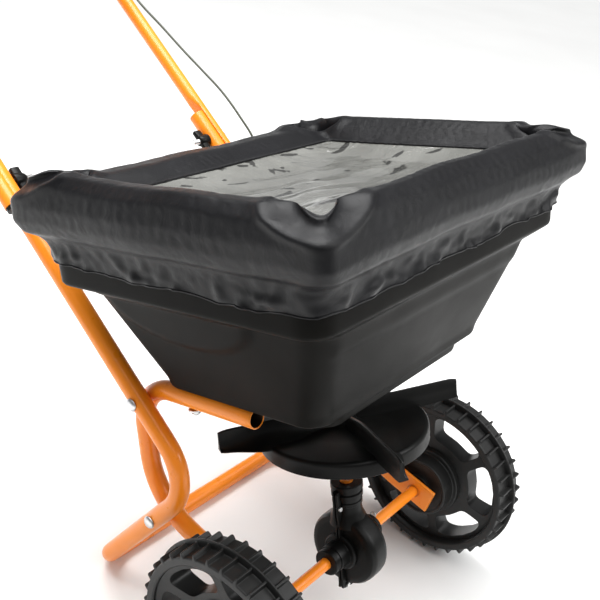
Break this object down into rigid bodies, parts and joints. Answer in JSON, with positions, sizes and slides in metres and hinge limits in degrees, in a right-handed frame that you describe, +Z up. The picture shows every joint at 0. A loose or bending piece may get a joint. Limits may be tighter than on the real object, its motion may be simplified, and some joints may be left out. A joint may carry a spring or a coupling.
{
  "type": "walk-behind broadcast spreader",
  "caption": "Push broadcast spreader with tapered hopper, fabric rain cover, spinner disc, geared axle, ribbed wheels, bent tube frame and folding handle.",
  "frame": {"origin": "centre of the footprint, on the floor the wheels and the stand rest on", "axes": "+Z up, front of the hopper towards -Y, handle towards +Y, machine's right wheel towards -X"},
  "size_m": [0.552, 0.9996, 0.8042],
  "materials": {
    "orange_powder_coat": "glossy orange powder coat",
    "black_plastic": "satin black moulded plastic",
    "wheel_plastic": "satin black moulded plastic",
    "zinc_plate": "bright zinc plate",
    "nylon_cloth": "black coated nylon cloth with a low sheen",
    "clear_vinyl": "wrinkled clear vinyl seen against a dark inside",
    "grip_foam": "black foam",
    "cable_jacket": "dark olive plastic jacket",
    "white_acetal": "natural acetal"
  },
  "bodies": {
    "frame": {"stand_tube": "orange_powder_coat", "side_tube_right": "orange_powder_coat", "side_tube_left": "orange_powder_coat", "hopper": "black_plastic", "outlet_plate": "zinc_plate", "cable_stop": "zinc_plate", "gearbox_front": "black_plastic", "gearbox_rear": "black_plastic", "gearbox_screw_upper_right": "zinc_plate", "gearbox_screw_upper_left": "zinc_plate", "gearbox_screw_lower_right": "zinc_plate", "gearbox_screw_lower_left": "zinc_plate", "shaft_bush": "white_acetal", "axle_bush_right": "white_acetal", "axle_bush_left": "white_acetal", "frame_bolt_upper_right": "zinc_plate", "frame_bolt_upper_left": "zinc_plate", "frame_bolt_lower_right": "zinc_plate", "frame_bolt_lower_left": "zinc_plate", "hopper_bolt_right": "zinc_plate", "hopper_bolt_left": "zinc_plate", "joint_bolt_right": "zinc_plate", "joint_bolt_left": "zinc_plate", "control_cable": "cable_jacket", "rain_cover": "nylon_cloth", "cover_window": "clear_vinyl"},
    "axle": {"axle": "orange_powder_coat", "crown_gear": "white_acetal", "cotter_pin_gearbox": "zinc_plate", "cotter_pin_right": "zinc_plate", "cotter_pin_left": "zinc_plate", "wheel_washer_right": "zinc_plate", "wheel_washer_left": "zinc_plate", "wheel_right": "wheel_plastic"},
    "free_wheel": {"wheel_left": "wheel_plastic"},
    "spinner": {"spinner_shaft": "zinc_plate", "pinion": "white_acetal", "spinner": "black_plastic", "agitator": "zinc_plate"},
    "gate": {"gate": "zinc_plate"},
    "upper_handle": {"upper_handle": "orange_powder_coat", "handle_grip": "grip_foam", "control_bracket": "zinc_plate", "lever_pin": "zinc_plate", "handle_plug_right": "black_plastic", "handle_plug_left": "black_plastic"},
    "control_lever": {"control_lever": "orange_powder_coat", "lever_knob": "black_plastic"},
    "knob_right": {"wing_knob_right": "black_plastic"},
    "knob_left": {"wing_knob_left": "black_plastic"}
  },
  "joints": [
    {"name": "axle_spin", "type": "hinge", "parent": "frame", "child": "axle", "pos_m": [0, -0.369, 0.13081], "axis": [1, 0, 0], "continuous": true},
    {"name": "free_wheel_spin", "type": "hinge", "parent": "frame", "child": "free_wheel", "pos_m": [0.231, -0.369, 0.13081], "axis": [1, 0, 0], "continuous": true},
    {"name": "spinner_spin", "type": "hinge", "parent": "frame", "child": "spinner", "pos_m": [0, -0.315, 0.30879], "axis": [0, 0.2903, 0.9569], "continuous": true},
    {"name": "handle_fold", "type": "hinge", "parent": "frame", "child": "upper_handle", "pos_m": [0, 0.14661, 0.50419], "axis": [1, 0, 0], "range_deg": [0, 100], "deforming": ["control_cable"]},
    {"name": "lever_turn", "type": "hinge", "parent": "upper_handle", "child": "control_lever", "pos_m": [0.1465, 0.4514, 0.74279], "axis": [-1, 0, 0], "range_deg": [0, 48]},
    {"name": "gate_slide", "type": "slide", "parent": "frame", "child": "gate", "axis": [0, 0.9569, -0.2903], "range_m": [0, 0.028]},
    {"name": "knob_right_turn", "type": "hinge", "parent": "frame", "child": "knob_right", "pos_m": [-0.166, 0.14661, 0.50419], "axis": [-1, 0, 0], "continuous": true},
    {"name": "knob_left_turn", "type": "hinge", "parent": "frame", "child": "knob_left", "pos_m": [0.166, 0.14661, 0.50419], "axis": [1, 0, 0], "continuous": true}
  ],
  "couplings": [
    {"joint": "spinner_spin", "follows": "axle_spin", "ratio": 3},
    {"joint": "gate_slide", "follows": "lever_turn", "m_per_rad": 0.0334}
  ]
}
